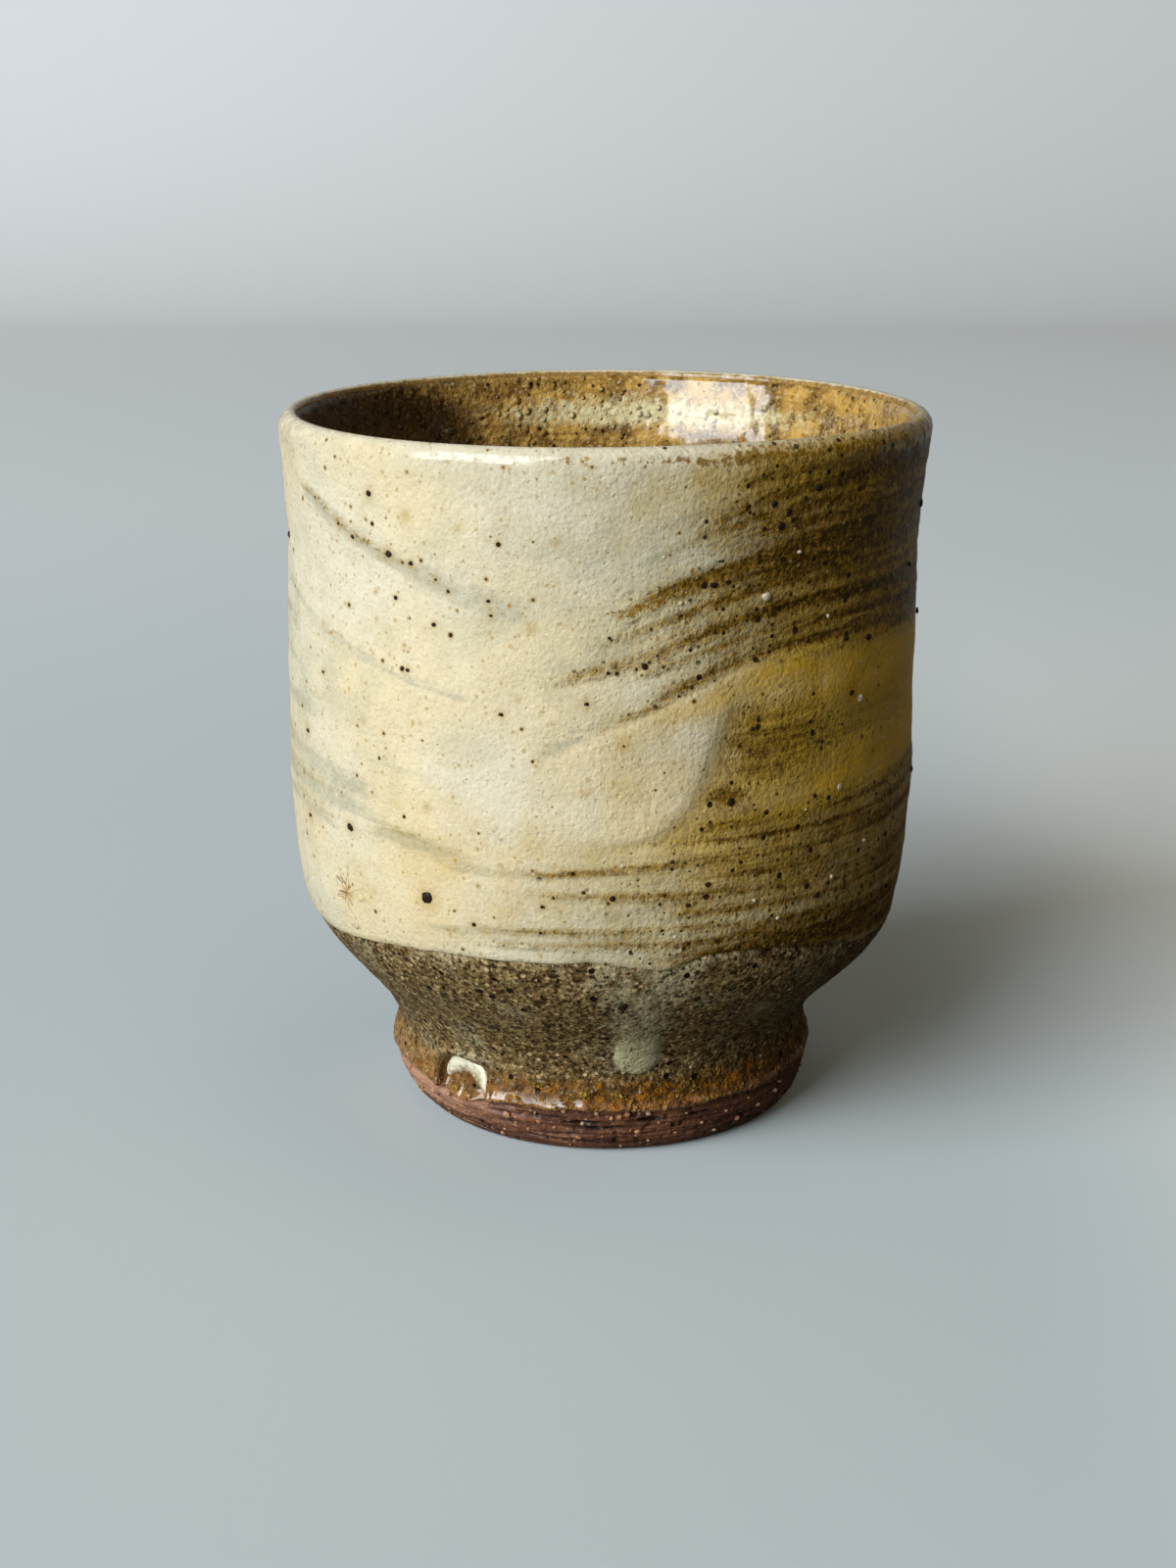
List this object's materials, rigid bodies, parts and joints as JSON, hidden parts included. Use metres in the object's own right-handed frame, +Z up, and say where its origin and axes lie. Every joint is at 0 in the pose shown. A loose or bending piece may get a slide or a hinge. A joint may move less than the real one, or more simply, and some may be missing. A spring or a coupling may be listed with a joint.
{
  "type": "tea cup",
  "caption": "Handleless stoneware tea cup on a flared foot ring, with brushed pale slip under ash glaze, for hot tea.",
  "frame": {"origin": "centre of the foot's standing face, on the table", "axes": "+Z up along the cup's axis; -Y is the front, the side with the glaze run and the pressed mark"},
  "size_m": [0.0802, 0.0802, 0.0888],
  "materials": {
    "stoneware": "fired stoneware, matt",
    "foot_clay": "bare purple-brown stoneware, toasted",
    "pale_slip": "brushed cream slip",
    "inner_slip": "thin brushed cream slip",
    "outer_ash_glaze": "satin to gloss ash glaze",
    "liner_ash_glaze": "glossy amber ash glaze over bare clay",
    "amber_glaze": "glossy amber glaze",
    "run_glaze": "pale grey-green glossy run",
    "pooled_glaze": "pale glossy pool",
    "iron_grain": "melted iron, glossy",
    "feldspar_grain": "melted feldspar, satin",
    "grog_grain": "rough grog"
  },
  "bodies": {
    "root": {"clay_bowl": "stoneware", "foot_ring": "foot_clay", "slip_coat": "pale_slip", "inner_slip_band": "inner_slip", "outer_glaze": "outer_ash_glaze", "liner_glaze": "liner_ash_glaze", "foot_glaze_band": "amber_glaze", "glaze_run": "run_glaze", "mark_glaze_pool": "pooled_glaze", "iron_spots": "iron_grain", "feldspar_grains": "feldspar_grain", "foot_grog": "grog_grain"}
  },
  "joints": []
}
